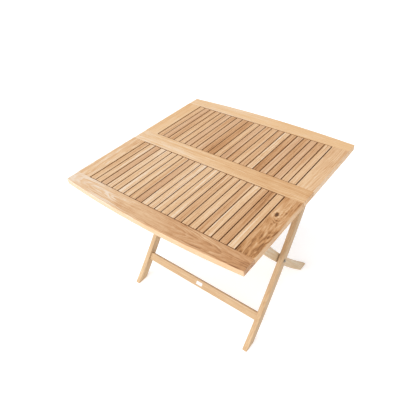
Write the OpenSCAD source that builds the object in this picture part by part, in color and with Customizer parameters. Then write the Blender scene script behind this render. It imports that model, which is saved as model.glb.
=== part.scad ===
// Square folding garden table: a framed top of narrow slats on two crossing pairs of bowed legs.
// Millimetres, +Z up, +X along the near edge. The origin is on the ground under the middle of the top.

/* [Top] */
// Width of the top, along the rails
top_w = 900; // [700:10:1100]
// Depth of the top at its middle, where its two bowed edges stand out furthest
top_d = 900; // [700:10:1100]
// Height of the top's upper face above the ground
table_h = 750; // [700:5:780]
// Thickness of the rails and stiles
top_t = 27; // [24:1:34]
// How far the near and far edges bow out between the corners
edge_bow = 20; // [5:1:30]
// Width of a near or far rail at its middle
rail_w = 81; // [70:1:95]
// Width of the middle rail
mid_rail_w = 82; // [70:1:95]
// Width of the four stiles at the sides
stile_w = 76; // [65:1:90]

/* [Slats] */
// Slats across each of the two panels
slat_count = 22; // [16:1:24]
// Gap between two slats
slat_gap = 4.1; // [3:0.1:6]
// Gap between a slat's end and the rail
slat_end_gap = 3; // [2:0.5:5]
// Thickness of a slat
slat_t = 15; // [13:1:16]
// Width of the battens that carry the slats
batten_w = 34; // [26:1:40]

/* [Legs] */
// Width of a leg board
leg_w = 42; // [38:1:46]
// Thickness of a leg board
leg_t = 25; // [20:1:28]
// Distance from the top's side edge to the outer face of an outer leg
leg_inset = 81.5; // [78:0.5:100]
// Distance from the middle of the table to the middle of a foot
foot_y = 289; // [250:1:320]
// Distance from the middle of the table to the pivot at a leg's upper end
hinge_y = 240; // [220:1:260]
// Drop of that pivot below the underside of the top
hinge_drop = 24; // [24:0.5:26]
// Height of the pivot where the two pairs of legs cross
cross_h = 341; // [330:1:352]
// Height of the middle of a stretcher
stretcher_h = 111; // [90:1:140]
// Width of a stretcher, measured along the leg
stretcher_w = 38; // [30:1:40]
// Thickness of a stretcher
stretcher_t = 22; // [18:1:24]
// Side gap between an outer leg and its neighbours
leg_gap = 3; // [2:0.5:4]

/* [Label] */
// Length of the blank label on the outer stretcher
label_l = 36; // [20:1:50]
// Width of the label, measured along the leg
label_w = 17; // [10:1:26]

/* [Hardware] */
// Nominal diameter of the pivot bolts
bolt_d = 8; // [6:1:10]
// Diameter of the round bar that ties the inner legs and drops into the cleats
bar_d = 24; // [20:1:28]
// Width of a cleat under the top
cleat_t = 25; // [20:1:28]
// Height of a cleat
cleat_h = 41; // [38:1:44]

/* [Hidden] */
arc_fn = 1440;
round_fn = 64;
fit = 0.15;
run_fit = 0.05;
apart = 0.3;

underside = table_h - top_t;
half_w = top_w / 2;
half_d = top_d / 2;
field_w = top_w - 2 * stile_w;
slat_w = (field_w - (slat_count + 1) * slat_gap) / slat_count;
slat_pitch = slat_w + slat_gap;
bow_r = (half_w * half_w + edge_bow * edge_bow) / (2 * edge_bow);
panel_y0 = mid_rail_w / 2;
panel_y1 = half_d - rail_w;
slat_z = table_h - slat_t;
batten_t = slat_z - underside;
batten_ys = [panel_y0 + 69, panel_y1 - 69];
batten_housing = 10;

tenon_l = 30;
tenon_w = 50;
tenon_t = 9;
tenon_z = underside + top_t / 2;
peg_r = 4;
peg_l = 20;

outer_leg_x = half_w - leg_inset;
inner_leg_x = outer_leg_x - leg_t - leg_gap;
outer_span = outer_leg_x - leg_t;
inner_span = inner_leg_x - leg_t;
cleat_x = outer_leg_x + leg_gap;
cleat_reach = 52;
hinge_z = underside - hinge_drop;
bolt_r = bolt_d / 2;
bar_r = bar_d / 2;
bar_half = cleat_x + cleat_t - 1.5;
stub_l = 14;
stub_w = 26;
stub_t = 12;
label_t = 0.6;
label_corner = 2;

head_r = 6.5;
head_h = 4;
dome_r = 9;
washer_r = 8;
washer_t = 1.6;
nut_r = 7.2;
nut_h = 6.5;
nut_recess = 7;

screw_r = 1.9;
screw_head_r = 3.6;
screw_head_h = 2.6;
screw_grip = 8;
cleat_screw_r = 2.4;
cleat_screw_head_r = 4.6;
cleat_screw_head_h = 3.2;
cleat_screw_sink = 14;
cleat_screw_grip = 18;
cleat_screw_ys = [-200, -80, 80, 200];

// The outer legs bow along one arc through the foot, the crossing and the hinge.
foot = [-foot_y, 0];
crossing = [0, cross_h];
hinge = [hinge_y, hinge_z];
rest_bar = [-hinge_y, hinge_z];

// Centre of the circle through three points
function circle_centre(a, b, c) =
    let (
        d = 2 * (a.x * (b.y - c.y) + b.x * (c.y - a.y) + c.x * (a.y - b.y)),
        a2 = a * a,
        b2 = b * b,
        c2 = c * c
    )
    [
        (a2 * (b.y - c.y) + b2 * (c.y - a.y) + c2 * (a.y - b.y)) / d,
        (a2 * (c.x - b.x) + b2 * (a.x - c.x) + c2 * (b.x - a.x)) / d
    ];

leg_centre = circle_centre(foot, crossing, hinge);
leg_r = norm(crossing - leg_centre);

// Point on the leg's centre line at a height, and the slope of the leg there in degrees
function leg_point(h) =
    [leg_centre.x + sqrt(leg_r * leg_r - pow(h - leg_centre.y, 2)), h];
function leg_slope(p) = atan2(p.y - leg_centre.y, p.x - leg_centre.x) + 90;

stretcher_at = leg_point(stretcher_h);
stretcher_slope = leg_slope(stretcher_at);

teak = "burlywood";
pale_teak = "wheat";
steel = "silver";

function two_digits(i) = i < 10 ? str("0", i) : str(i);
function slat_node(i) = str("slats_", two_digits(i));

// ---- helpers ----

// A shape drawn in the side view (Y right, Z up) and given a thickness along X
module side_plate(x0, thickness) {
    translate([x0, 0, 0])
        rotate([90, 0, 90])
            linear_extrude(thickness)
                children();
}

// A round rod along X, from x0 to x1, through a point of the side view
module rod(p, r, x0, x1) {
    translate([x0, p.x, p.y])
        rotate([0, 90, 0])
            cylinder(r = r, h = x1 - x0, $fn = round_fn);
}

// A copy at the left and one at the right
module both_sides() {
    children();
    mirror([1, 0, 0])
        children();
}

// A box centred in X and Y, standing on z0
module slab(w, d, z0, h) {
    translate([-w / 2, -d / 2, z0])
        cube([w, d, h]);
}

// ---- the framed top ----

// Outline of the whole top in plan: straight sides, bowed near and far edges
module top_outline() {
    intersection() {
        square([top_w, top_d], center = true);
        translate([0, bow_r - half_d])
            circle(r = bow_r, $fn = arc_fn);
        translate([0, half_d - bow_r])
            circle(r = bow_r, $fn = arc_fn);
    }
}

// A tenon, or its mortise when it is grown, reaching from a shoulder at y0 along +Y
module tenon(x, y0, grow) {
    translate([x - tenon_w / 2 - grow, y0, tenon_z - tenon_t / 2 - grow])
        cube([tenon_w + 2 * grow, tenon_l + grow, tenon_t + 2 * grow]);
}

// The blind hole for a peg from the underside, or the peg itself
module peg(x, y, grow) {
    translate([x, y, underside - (grow > 0 ? 1 : 0)])
        cylinder(r = peg_r + grow, h = peg_l + (grow > 0 ? 1 + grow : 0), $fn = 32);
}

stile_x = half_w - stile_w / 2;
outer_peg_y = panel_y1 + tenon_l / 2;
inner_peg_y = panel_y0 - tenon_l / 2;

// A near or far rail, drawn as the near one
module outer_rail() {
    difference() {
        translate([0, 0, underside])
            linear_extrude(top_t)
                intersection() {
                    top_outline();
                    translate([-half_w, -half_d])
                        square([top_w, rail_w]);
                }
        for (x = [-stile_x, stile_x]) {
            translate([0, -panel_y1 - tenon_l, 0])
                tenon(x, -fit, fit);
            peg(x, -outer_peg_y, run_fit);
        }
    }
}

module near_rail() {
    color(pale_teak)
        outer_rail();
}

module far_rail() {
    color(teak)
        mirror([0, 1, 0])
            outer_rail();
}

module mid_rail() {
    color(teak)
        difference() {
            slab(top_w, mid_rail_w, underside, top_t);
            for (x = [-stile_x, stile_x], side = [0, 1])
                mirror([0, side, 0]) {
                    translate([0, panel_y0 - tenon_l, 0])
                        tenon(x, -fit, fit);
                    peg(x, inner_peg_y, run_fit);
                }
        }
}

// A stile of the far right corner: tenons at both ends, housings for the batten ends
module stile() {
    difference() {
        union() {
            translate([half_w - stile_w, panel_y0, underside])
                cube([stile_w, panel_y1 - panel_y0, top_t]);
            tenon(stile_x, panel_y1, 0);
            translate([0, panel_y0 - tenon_l, 0])
                tenon(stile_x, 0, 0);
        }
        for (y = batten_ys)
            translate([half_w - stile_w - 1, y - batten_w / 2 - fit, underside - 1])
                cube([batten_housing + 1 + fit, batten_w + 2 * fit, batten_t + 1 + fit]);
        for (y = [outer_peg_y, inner_peg_y])
            peg(stile_x, y, run_fit);
        for (y = cleat_screw_ys)
            cleat_screw(y, run_fit);
    }
}

module far_right_stile() {
    color(teak)
        stile();
}

module far_left_stile() {
    color(pale_teak)
        mirror([1, 0, 0])
            stile();
}

module near_right_stile() {
    color("peru")
        mirror([0, 1, 0])
            stile();
}

module near_left_stile() {
    color(teak)
        mirror([1, 0, 0])
            mirror([0, 1, 0])
                stile();
}

module joint_pegs() {
    color(teak)
        for (x = [-stile_x, stile_x], y = [outer_peg_y, inner_peg_y], side = [-1, 1])
            peg(x, side * y, 0);
}

// ---- slats and what carries them ----

function slat_x(i) = (i - (slat_count + 1) / 2) * slat_pitch;

// The near slat and the far slat of one row, drilled for their screws
module slats(i) {
    color(i % 3 == 0 ? pale_teak : teak)
        for (side = [0, 1])
            mirror([0, side, 0])
                difference() {
                    translate([slat_x(i) - slat_w / 2, panel_y0 + slat_end_gap, slat_z])
                        cube([slat_w, panel_y1 - panel_y0 - 2 * slat_end_gap, slat_t]);
                    for (y = batten_ys)
                        slat_screw(slat_x(i), y, run_fit);
                }
}

// A batten under one panel, running into the stiles at both ends
module batten(y) {
    difference() {
        translate([0, y, 0])
            slab(field_w + 2 * batten_housing, batten_w, underside, batten_t);
        for (i = [1:slat_count])
            slat_screw(slat_x(i), y, run_fit);
    }
}

module near_outer_batten() {
    color(teak)
        batten(-batten_ys[1]);
}

module near_inner_batten() {
    color(teak)
        batten(-batten_ys[0]);
}

module far_inner_batten() {
    color(teak)
        batten(batten_ys[0]);
}

module far_outer_batten() {
    color(teak)
        batten(batten_ys[1]);
}

// A screw from below through a batten into a slat, or its hole when it is grown
module slat_screw(x, y, grow) {
    translate([x, y, underside - (grow > 0 ? 1 : 0)])
        cylinder(
            r = screw_head_r + grow,
            h = screw_head_h + (grow > 0 ? 1 : 0),
            $fn = 24
        );
    translate([x, y, underside + screw_head_h])
        cylinder(
            r = screw_r + grow,
            h = batten_t - screw_head_h + screw_grip + grow,
            $fn = 24
        );
}

module slat_screws() {
    color(steel)
        for (i = [1:slat_count], y = batten_ys, side = [-1, 1])
            slat_screw(slat_x(i), side * y, 0);
}

// ---- cleats: hinge blocks at the far end, open notches for the bar at the near end ----

// Section of the notch in the side view, about the bar's resting place: a round seat
// whose far wall slopes, so that the bar swings out of it as the top lifts
module notch() {
    seat_r = bar_r + apart;
    drop = cleat_h - hinge_drop + 1;
    circle(r = seat_r, $fn = round_fn);
    polygon([
        [-seat_r, 0],
        [-seat_r, -drop],
        [2.3 * seat_r, -drop],
        [0.92 * seat_r, 0.39 * seat_r],
        [0, 0]
    ]);
}

// A screw up through a cleat into the stile, or its hole when it is grown
module cleat_screw(y, grow) {
    z0 = underside - cleat_h + cleat_screw_sink;
    x = cleat_x + cleat_t / 2 + 3;
    translate([x, y, z0 - (grow > 0 ? cleat_screw_sink + 1 : 0)])
        cylinder(
            r = cleat_screw_head_r + grow,
            h = cleat_screw_head_h + (grow > 0 ? cleat_screw_sink + 1 : 0),
            $fn = 32
        );
    translate([x, y, z0 + cleat_screw_head_h])
        cylinder(
            r = cleat_screw_r + grow,
            h = underside - z0 - cleat_screw_head_h + cleat_screw_grip + grow,
            $fn = 32
        );
}

module cleat() {
    difference() {
        side_plate(cleat_x, cleat_t)
            difference() {
                translate([-hinge_y - cleat_reach, underside - cleat_h])
                    square([2 * (hinge_y + cleat_reach), cleat_h]);
                translate(rest_bar)
                    notch();
            }
        rod(hinge, bolt_r + run_fit, cleat_x - 1, cleat_x + cleat_t + 1);
        for (y = cleat_screw_ys)
            cleat_screw(y, run_fit);
    }
}

module right_cleat() {
    color(teak)
        cleat();
}

module left_cleat() {
    color(teak)
        mirror([1, 0, 0])
            cleat();
}

module cleat_screws() {
    color(steel)
        both_sides()
            for (y = cleat_screw_ys)
                cleat_screw(y, 0);
}

// ---- legs ----

// Side view of an outer leg: a band of one arc, flat at the ground and round at the hinge
module leg_outline() {
    across = (hinge - leg_centre) / leg_r;
    reach = 80;
    intersection() {
        translate(leg_centre)
            difference() {
                circle(r = leg_r + leg_w / 2, $fn = arc_fn);
                circle(r = leg_r - leg_w / 2, $fn = arc_fn);
            }
        polygon([
            foot - [reach, 0],
            foot + [reach, 0],
            hinge + reach * across,
            hinge - reach * across
        ]);
    }
    translate(hinge)
        circle(r = leg_w / 2, $fn = round_fn);
}

// Mortise, tenon or bar section at the stretcher, square to the leg
module stretcher_section(w, t, grow) {
    translate(stretcher_at)
        rotate(stretcher_slope)
            square([w + 2 * grow, t + 2 * grow], center = true);
}

module outer_leg() {
    difference() {
        side_plate(outer_span, leg_t)
            leg_outline();
        rod(crossing, bolt_r + run_fit, outer_span - 1, outer_leg_x + 1);
        rod(hinge, bolt_r + run_fit, outer_span - 1, outer_leg_x + 1);
        rod(hinge, nut_r + 1, outer_span - 1, outer_span + nut_recess);
        side_plate(outer_span - 1, stub_l + 1 + fit)
            stretcher_section(stub_w, stub_t, fit);
    }
}

module outer_right_leg() {
    color(teak)
        outer_leg();
}

module outer_left_leg() {
    color(teak)
        mirror([1, 0, 0])
            outer_leg();
}

// An inner leg is the mirror image of an outer one, one leg further in
module inner_leg() {
    mirror([0, 1, 0])
        difference() {
            side_plate(inner_span, leg_t)
                leg_outline();
            rod(crossing, bolt_r + run_fit, inner_span - 1, inner_leg_x + 1);
            rod(hinge, bar_r + run_fit, inner_span - 1, inner_leg_x + 1);
            side_plate(inner_span - 1, stub_l + 1 + fit)
                stretcher_section(stub_w, stub_t, fit);
        }
}

module inner_right_leg() {
    color(teak)
        inner_leg();
}

module inner_left_leg() {
    color(teak)
        mirror([1, 0, 0])
            inner_leg();
}

// A stretcher between two legs whose inner faces are at plus and minus span
module stretcher(span) {
    side_plate(-span, 2 * span)
        stretcher_section(stretcher_w, stretcher_t, 0);
    side_plate(-span - stub_l, 2 * (span + stub_l))
        stretcher_section(stub_w, stub_t, 0);
}

module outer_stretcher() {
    color(teak)
        stretcher(outer_span);
}

// A thin blank label on the upper face of the outer stretcher
module blank_label() {
    color("white")
        translate([0, stretcher_at.x, stretcher_at.y])
            rotate([stretcher_slope, 0, 0])
                translate([0, 0, stretcher_t / 2])
                    linear_extrude(label_t)
                        offset(r = label_corner, $fn = 32)
                            square(
                                [label_l - 2 * label_corner, label_w - 2 * label_corner],
                                center = true
                            );
}

module inner_stretcher() {
    color(teak)
        mirror([0, 1, 0])
            stretcher(inner_span);
}

module inner_bar() {
    color(teak)
        rod(rest_bar, bar_r, -bar_half, bar_half);
}

// ---- pivots ----

// A domed bolt head against a face at x0, facing +X
module bolt_head(p, x0) {
    translate([x0, p.x, p.y])
        rotate([0, 90, 0])
            intersection() {
                cylinder(r = head_r, h = head_h, $fn = round_fn);
                translate([0, 0, head_h - dome_r])
                    sphere(r = dome_r, $fn = round_fn);
            }
}

// A flat ring along X
module ring(p, inside, outside, x0, x1) {
    difference() {
        rod(p, outside, x0, x1);
        rod(p, inside, x0 - 1, x1 + 1);
    }
}

// A six-sided nut along X
module nut(p, x0) {
    difference() {
        translate([x0, p.x, p.y])
            rotate([0, 90, 0])
                cylinder(r = nut_r, h = nut_h, $fn = 6);
        rod(p, bolt_r + run_fit, x0 - 1, x0 + nut_h + 1);
    }
}

crossing_nut_x = inner_span - apart - washer_t - nut_h;
crossing_bolt_end = crossing_nut_x - 1;
hinge_head_x = cleat_x + cleat_t + apart + washer_t;
hinge_nut_x = outer_span + 0.5;

module crossing_bolt() {
    rod(crossing, bolt_r, crossing_bolt_end, outer_leg_x + washer_t);
    bolt_head(crossing, outer_leg_x + washer_t);
}

module hinge_bolt() {
    rod(hinge, bolt_r, hinge_nut_x, hinge_head_x);
    bolt_head(hinge, hinge_head_x);
}

module right_crossing_bolt() {
    color(steel)
        crossing_bolt();
}

module left_crossing_bolt() {
    color(steel)
        mirror([1, 0, 0])
            crossing_bolt();
}

module right_hinge_bolt() {
    color(steel)
        hinge_bolt();
}

module left_hinge_bolt() {
    color(steel)
        mirror([1, 0, 0])
            hinge_bolt();
}

module crossing_nuts() {
    color(steel)
        both_sides()
            nut(crossing, crossing_nut_x);
}

module hinge_nuts() {
    color(steel)
        both_sides()
            nut(hinge, hinge_nut_x);
}

// One washer under the head, one spacer between the legs and one under the nut
module crossing_washers() {
    hole = bolt_r + run_fit;
    color(steel)
        both_sides() {
            ring(crossing, hole, washer_r, outer_leg_x, outer_leg_x + washer_t);
            ring(crossing, hole, washer_r, inner_leg_x + apart, outer_span);
            ring(crossing, hole, washer_r, crossing_nut_x + nut_h, inner_span - apart);
        }
}

// One washer under the head and one spacer between the leg and the cleat
module hinge_washers() {
    hole = bolt_r + run_fit;
    color(steel)
        both_sides() {
            ring(hinge, hole, washer_r, hinge_head_x - washer_t, hinge_head_x);
            ring(hinge, hole, washer_r, outer_leg_x, cleat_x - apart);
        }
}

// ---- what is drawn ----

near_rail();
mid_rail();
far_rail();
near_left_stile();
near_right_stile();
far_left_stile();
far_right_stile();
for (i = [1:slat_count])
    slats(i);
near_outer_batten();
near_inner_batten();
far_inner_batten();
far_outer_batten();
left_cleat();
right_cleat();
slat_screws();
cleat_screws();
joint_pegs();
outer_left_leg();
outer_right_leg();
outer_stretcher();
blank_label();
inner_left_leg();
inner_right_leg();
inner_stretcher();
inner_bar();
left_crossing_bolt();
right_crossing_bolt();
crossing_nuts();
crossing_washers();
left_hinge_bolt();
right_hinge_bolt();
hinge_nuts();
hinge_washers();
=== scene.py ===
"""Finished look of a square folding teak table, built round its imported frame.

Every board is sawn, eased and laid out here in metres, in the frame's own coordinates:
+X along the near edge of the top, +Y away from it, +Z up, the origin on the ground.
"""

from __future__ import annotations

import logging
from collections.abc import Sequence
from dataclasses import dataclass
from enum import Enum

import bpy
import numpy as np
from mathutils import Matrix, Vector

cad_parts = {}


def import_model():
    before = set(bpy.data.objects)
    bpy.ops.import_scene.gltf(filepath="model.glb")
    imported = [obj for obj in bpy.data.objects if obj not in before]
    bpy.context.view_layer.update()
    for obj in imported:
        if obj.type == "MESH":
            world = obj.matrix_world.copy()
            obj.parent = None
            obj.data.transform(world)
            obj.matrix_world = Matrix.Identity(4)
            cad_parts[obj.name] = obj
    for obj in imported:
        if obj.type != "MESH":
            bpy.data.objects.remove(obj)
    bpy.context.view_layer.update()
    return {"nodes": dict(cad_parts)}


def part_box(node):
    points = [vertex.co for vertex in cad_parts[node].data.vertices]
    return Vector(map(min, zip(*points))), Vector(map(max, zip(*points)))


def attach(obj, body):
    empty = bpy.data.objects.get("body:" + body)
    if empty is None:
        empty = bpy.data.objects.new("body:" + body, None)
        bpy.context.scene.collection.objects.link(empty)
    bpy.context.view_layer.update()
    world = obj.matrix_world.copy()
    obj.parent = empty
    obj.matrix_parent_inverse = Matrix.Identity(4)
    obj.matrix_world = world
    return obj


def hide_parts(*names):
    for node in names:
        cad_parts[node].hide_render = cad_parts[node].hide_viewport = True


LOG = logging.getLogger("folding_table")
MM = 0.001

# The smallest radius of a corner, and the easing of an end that meets another board.
LEAST_RADIUS = 0.1 * MM
TENON_ARRIS = 0.5 * MM
# Angles in radians past which an edge counts as sharp, before it is eased and after.
SHARP_ANGLE = 0.6
EASED_ANGLE = 0.45


# ---------------------------------------------------------------- colours


def linear(red: int, green: int, blue: int) -> tuple[float, float, float, float]:
    """Turn a display colour into the linear one that a shader takes.

    Args:
        red: Red, from 0 to 255.
        green: Green, from 0 to 255.
        blue: Blue, from 0 to 255.

    Returns:
        Linear red, green, blue and an alpha of 1.
    """
    share = np.array([red, green, blue]) / 255.0
    low, high = share / 12.92, ((share + 0.055) / 1.055) ** 2.4
    mixed = np.where(share <= 0.04045, low, high)
    return float(mixed[0]), float(mixed[1]), float(mixed[2]), 1.0


class Tone(Enum):
    """How dark a board is between bleached sapwood, 0, and the heart, 1, and how rosy it is."""

    PALEST = (0.10, 0.00)
    BUTTER = (0.25, -0.28)
    BISCUIT = (0.38, -0.16)
    CREAM = (0.22, 0.05)
    STRAW = (0.30, 0.00)
    HONEY = (0.38, 0.05)
    WHEAT = (0.43, 0.30)
    ROSE = (0.46, 0.60)
    TAN = (0.52, 0.15)
    AMBER = (0.66, 0.10)
    RUSSET = (0.68, -0.05)

    @property
    def depth(self) -> float:
        """Darkness of the board."""
        return self.value[0]

    @property
    def blush(self) -> float:
        """Share of rose in the board's colour, or of gold where it is negative."""
        return self.value[1]


NEAR_SLATS = (
    "honey cream rose cream straw cream straw honey rose cream cream "
    "straw straw straw tan honey honey tan straw tan amber straw"
)
FAR_SLATS = (
    "honey rose tan honey honey rose tan rose amber amber honey "
    "rose tan honey tan straw amber rose amber rose tan honey"
)


def tones(words: str) -> list[Tone]:
    """The tones named in a line of words, in order."""
    return [Tone[word.upper()] for word in words.split()]


# ---------------------------------------------------------------- how a board is sawn


@dataclass(frozen=True)
class Cut:
    """Where in the log a board was sawn, and what it shows.

    Attributes:
        tone: Colour at the middle of the board.
        pith_across: Distance from the board's middle to the log's heart, across it, in metres.
        pith_depth: The same through its thickness. A small distance gives arched figure.
        lean: How far the heart drifts through the thickness for each metre along the board.
        fade: How much darker the far end is than the near end, or the right than the left.
        sap_edge: Place across the board where pale sapwood starts, in metres.
        sap: How much paler the sapwood is; a negative value puts it on the negative side.
        mottle: Strength of cloudy patches.
        knot: Place of a knot along and across the board and its radius, in metres.
    """

    tone: Tone = Tone.HONEY
    pith_across: float = 0.15
    pith_depth: float = 0.12
    lean: float = 0.02
    fade: float = 0.0
    sap_edge: float = 0.0
    sap: float = 0.0
    mottle: float = 0.3
    knot: tuple[float, float, float] = (0.0, 9.0, 0.01)


@dataclass(frozen=True)
class Axes:
    """Directions of a board: along its grain, across its face and through its thickness."""

    along: tuple[float, float, float]
    across: tuple[float, float, float]
    depth: tuple[float, float, float]


ALONG_X = Axes((1, 0, 0), (0, 1, 0), (0, 0, 1))
ALONG_Y = Axes((0, 1, 0), (1, 0, 0), (0, 0, 1))


def store(mesh: bpy.types.Mesh, name: str, values: np.ndarray) -> None:
    """Keep one vector per vertex in the mesh, for the materials to read.

    Args:
        mesh: The mesh that gets the attribute.
        name: Name that the materials look up.
        values: One row of three numbers per vertex.
    """
    layer = mesh.attributes.new(name, "FLOAT_VECTOR", "POINT")
    layer.data.foreach_set("vector", np.ascontiguousarray(values, dtype=np.float32).ravel())


def places(mesh: bpy.types.Mesh) -> np.ndarray:
    """Vertices of a mesh.

    Args:
        mesh: The mesh.

    Returns:
        One row of X, Y and Z per vertex.
    """
    flat = np.empty(len(mesh.vertices) * 3, np.float32)
    mesh.vertices.foreach_get("co", flat)
    return flat.reshape(-1, 3).astype(float)


def saw(mesh: bpy.types.Mesh, axes: Axes, cut: Cut, seed: int) -> None:
    """Write a board's grain coordinates and the way it was sawn into its mesh.

    The grain coordinate of a point is its distance from the middle of the board along, across and
    through it. Darkness changes along the board by fade times half the sine of a quarter turn
    that ends at the board's end.

    Args:
        mesh: The board's mesh, in its final place.
        axes: Directions of the board.
        cut: Where in the log it comes from.
        seed: Number that no other board has.
    """
    points = places(mesh)
    middle = (points.min(axis=0) + points.max(axis=0)) / 2
    basis = np.array([axes.along, axes.across, axes.depth], float).T
    grain = (points - middle) @ basis
    ones = np.ones(len(points))
    share = grain[:, 0] / np.abs(grain[:, 0]).max()
    depth = cut.tone.depth + cut.fade * np.sin(share * np.pi / 2) / 2
    store(mesh, "grain", grain)
    store(mesh, "board", np.column_stack([ones * seed, depth, ones * cut.tone.blush]))
    store(mesh, "pith", ones[:, None] * np.array([cut.pith_across, cut.pith_depth, cut.lean]))
    store(mesh, "sap", ones[:, None] * np.array([cut.sap_edge, cut.sap, cut.mottle]))
    store(mesh, "knot", ones[:, None] * np.array(cut.knot))


# ---------------------------------------------------------------- surfaces


@dataclass
class Skin:
    """A closed surface before it becomes a mesh.

    Attributes:
        points: Vertices, one row each, in metres.
        faces: Vertex numbers of each face, outward side first.
        smooth: Whether each face is shaded smooth.
        shade_arris_end: Painted shade of a face in a gap, negative where an outer face gets painted
            light, then arris, where a painted highlight goes, and end grain, each from 0 to 1, per
            vertex; all 0 when left out.
    """

    points: np.ndarray
    faces: list[list[int]]
    smooth: np.ndarray | None = None
    shade_arris_end: np.ndarray | None = None

    def to_object(self, name: str) -> bpy.types.Object:
        """Put this skin into an object at the origin, linked to the scene.

        Args:
            name: Name of the object.

        Returns:
            The object.
        """
        mesh = bpy.data.meshes.new(name)
        mesh.from_pydata(self.points.tolist(), [], self.faces)
        flags = np.ones(len(self.faces), bool) if self.smooth is None else self.smooth
        mesh.polygons.foreach_set("use_smooth", flags)
        store(mesh, "shade_arris_end", np.zeros_like(self.points) if self.shade_arris_end is None else self.shade_arris_end)
        mesh.update()
        piece = bpy.data.objects.new(name, mesh)
        bpy.context.scene.collection.objects.link(piece)
        return piece


def quads_between(rings: int, count: int, loop: bool = False) -> np.ndarray:
    """Four-sided faces that join neighbouring rings of points.

    Args:
        rings: Number of rings.
        count: Points in each ring.
        loop: Whether the last ring is also joined to the first.

    Returns:
        Vertex numbers of shape (faces, 4).
    """
    index = np.arange(rings * count).reshape(rings, count)
    after = np.roll(index, -1, axis=1)
    here, there = index[:-1], index[1:]
    side, beyond = after[:-1], after[1:]
    if loop:
        here, there = index, np.roll(index, -1, axis=0)
        side, beyond = after, np.roll(after, -1, axis=0)
    return np.stack([here, side, beyond, there], axis=-1).reshape(-1, 4)


def capped(grid: np.ndarray, smooth_columns: np.ndarray | None = None) -> Skin:
    """Join rings of points into a closed skin with a flat face at each end.

    The rings run anticlockwise when seen against the direction of travel, so the faces point
    outwards.

    Args:
        grid: Points of shape (rings, points per ring, 3).
        smooth_columns: Whether the faces after each point of a ring are shaded smooth.

    Returns:
        The closed skin.
    """
    rings, count = grid.shape[:2]
    last = np.arange((rings - 1) * count, rings * count)
    faces = quads_between(rings, count).tolist()
    faces += [np.arange(count)[::-1].tolist(), last.tolist()]
    column = np.ones(count, bool) if smooth_columns is None else smooth_columns
    flags = np.concatenate([np.tile(column, rings - 1), [False, False]])
    return Skin(grid.reshape(-1, 3), faces, flags)


@dataclass(frozen=True)
class Easing:
    """How a board's arrises are rounded and which of its faces look into a gap.

    Attributes:
        corners: Four radii from (+first, +second) on anticlockwise about the board's path.
        ends: Radius round each end.
        gaps: Share of painted shade on the faces towards +first, +second, -first and -second, where
            they look into a gap. A negative share gives the face painted light instead.
        gap_ends: Share of painted shade on the two ends.
        steps: Flat steps in a quarter circle.
    """

    corners: tuple[float, float, float, float] = (1.5 * MM, 1.5 * MM, 1.5 * MM, 1.5 * MM)
    ends: float = 1.0 * MM
    gaps: tuple[float, float, float, float] = (0.0, 0.0, 0.0, 0.0)
    gap_ends: float = 0.0
    steps: int = 4

    def stations(self, length: float, inner: int) -> tuple[np.ndarray, np.ndarray]:
        """Distances along a board of that length, and how far the section is drawn in at each.

        At an end the section's edge follows a quarter circle: it moves on by r(1 - cos) while it
        grows by r sin.

        Args:
            length: Length of the board.
            inner: Number of stations between the two eased ends.

        Returns:
            Distance from the start, and inset, one of each per station.
        """
        turn = np.linspace(0, np.pi / 2, self.steps + 1)[:-1]
        ahead = self.ends * (1 - np.cos(turn))
        inset = self.ends * (1 - np.sin(turn))
        middle = np.linspace(self.ends, length - self.ends, inner)
        along = np.concatenate([ahead, middle, length - ahead[::-1]])
        return along, np.concatenate([inset, np.zeros(inner), inset[::-1]])

    def angles(self) -> np.ndarray:
        """Direction of the surface at each point of a ring, from +first towards +second."""
        quadrant = np.arange(4)[:, None] * np.pi / 2
        return (quadrant + np.linspace(0, np.pi / 2, self.steps + 1)[None, :]).ravel()

    def section(self, half_a: np.ndarray, half_b: np.ndarray, inset: np.ndarray) -> np.ndarray:
        """Rounded rectangles, one for each station.

        A corner is a quarter circle about a centre that lies one radius in from both sides.

        Args:
            half_a: Half size along the first direction, one per station.
            half_b: Half size along the second direction.
            inset: How far each section is drawn in.

        Returns:
            Points of shape (stations, 4 * (steps + 1), 2).
        """
        radii = np.maximum(np.array(self.corners)[None, :] - inset[:, None], LEAST_RADIUS)
        radii = np.repeat(radii, self.steps + 1, axis=1)
        sign_a = np.repeat([1, -1, -1, 1], self.steps + 1)
        sign_b = np.repeat([1, 1, -1, -1], self.steps + 1)
        angle = self.angles()[None, :]
        a = ((half_a - inset)[:, None] - radii) * sign_a + radii * np.cos(angle)
        b = ((half_b - inset)[:, None] - radii) * sign_b + radii * np.sin(angle)
        return np.stack([a, b], axis=-1)

    def shade_arris_end(self, inset: np.ndarray) -> np.ndarray:
        """Painted gap shade, arris and end grain of each point.

        The painted shade is the fourth power of how squarely the surface faces a gap. Arris, which
        gets a painted highlight, is twice the product of the two parts of its direction, and end
        grain the fourth power of the inset's share of the end radius.

        Args:
            inset: How far each section is drawn in.

        Returns:
            Values of shape (stations * points per ring, 3).
        """
        angle = self.angles()
        parts = np.stack([np.cos(angle), np.sin(angle), -np.cos(angle), -np.sin(angle)])
        # Painted shade on faces that look into a gap; a negative share gives painted light.
        side = np.array(self.gaps) @ np.maximum(parts, 0) ** 4
        end = (inset / self.ends) ** 4
        inner_side = side[None, :] * (1 - end[:, None])
        gap_shade = np.where(end[:, None] > 0.5, self.gap_ends * end[:, None], inner_side)
        arris = np.broadcast_to(np.abs(np.sin(2 * angle))[None, :], gap_shade.shape)
        end_grain = np.broadcast_to(end[:, None], gap_shade.shape)
        return np.stack([gap_shade, arris, end_grain], axis=-1).reshape(-1, 3)


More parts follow.
